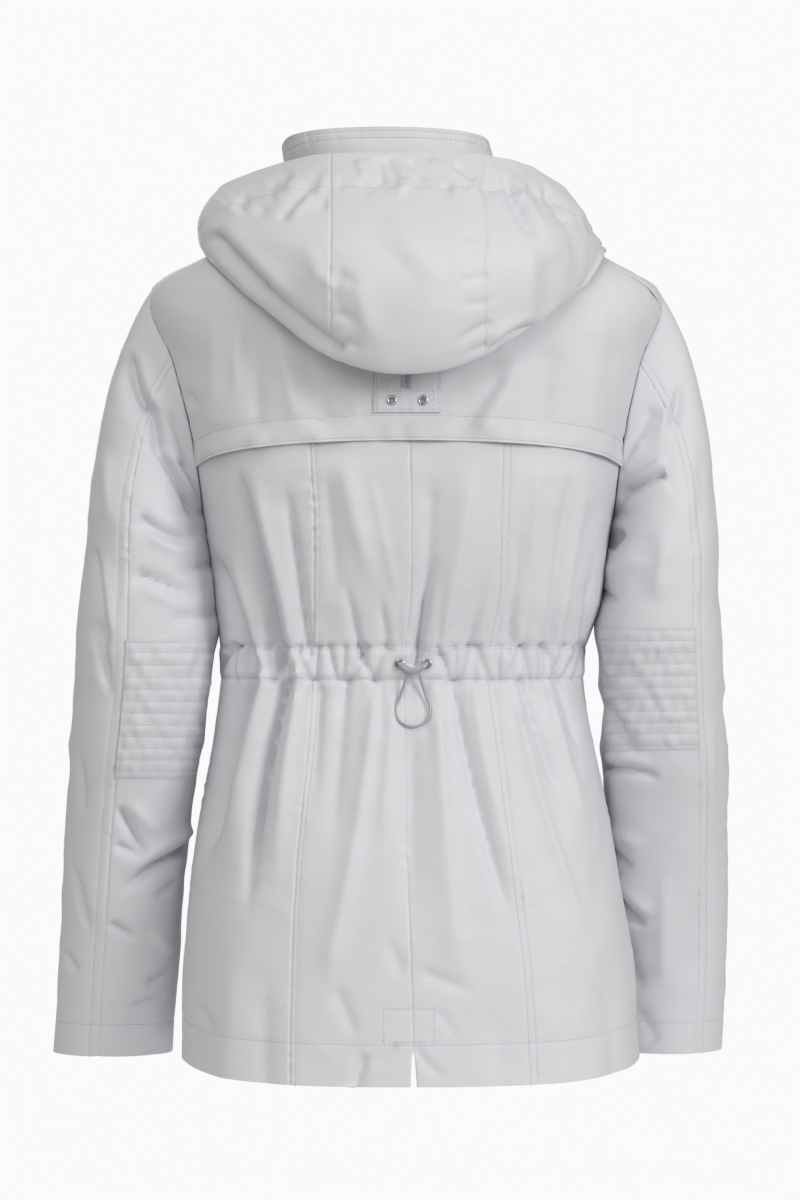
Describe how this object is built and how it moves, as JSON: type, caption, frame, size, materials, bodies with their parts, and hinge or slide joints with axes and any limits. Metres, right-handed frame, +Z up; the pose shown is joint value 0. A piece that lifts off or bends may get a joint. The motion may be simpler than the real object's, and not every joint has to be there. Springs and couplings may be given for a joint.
{
  "type": "rain jacket",
  "caption": "Light grey hooded rain jacket in its worn shape with no wearer: stand collar, hood down, vented back yoke, drawn-in waist with a pull cord, quilted elbow patches, front zip.",
  "frame": {"origin": "middle of the neckline, at the height where the shoulders meet the collar, where the wearer holds the jacket up", "axes": "+Z up, -Y to the front of the jacket, +X to the wearer's left"},
  "size_m": [0.5791, 0.3439, 0.7811],
  "materials": {
    "cloth": "coated plain weave, soft sheen",
    "patch": "quilted plain weave",
    "metal": "dark satin",
    "zip": "matte",
    "cord": "smooth elastic cord"
  },
  "bodies": {
    "jacket": {"back_centre_left": "cloth", "back_centre_right": "cloth", "back_side_left": "cloth", "back_side_right": "cloth", "back_yoke": "cloth", "collar": "cloth", "cord_loop": "cord", "cord_sleeve": "cord", "elbow_patch_left": "patch", "elbow_patch_right": "patch", "front_left": "cloth", "front_right": "cloth", "front_zip": "zip", "hood_centre": "cloth", "hood_left": "cloth", "hood_right": "cloth", "sleeve_under_left": "cloth", "sleeve_under_right": "cloth", "sleeve_upper_left": "cloth", "sleeve_upper_right": "cloth", "waist_casing": "cloth", "waist_eyelet_left": "metal", "waist_eyelet_right": "metal", "yoke_eyelet_left": "metal", "yoke_eyelet_right": "metal", "yoke_tab": "cloth", "yoke_zip": "zip", "yoke_zip_patch": "patch", "zip_slider": "metal"},
    "zip_pull": {"zip_pull": "metal"}
  },
  "joints": [
    {"name": "zip_pull_hinge", "type": "hinge", "parent": "jacket", "child": "zip_pull", "pos_m": [0.01243, -0.09661, 0.00139], "axis": [-1, 0, 0], "range_deg": [0, 165]}
  ]
}
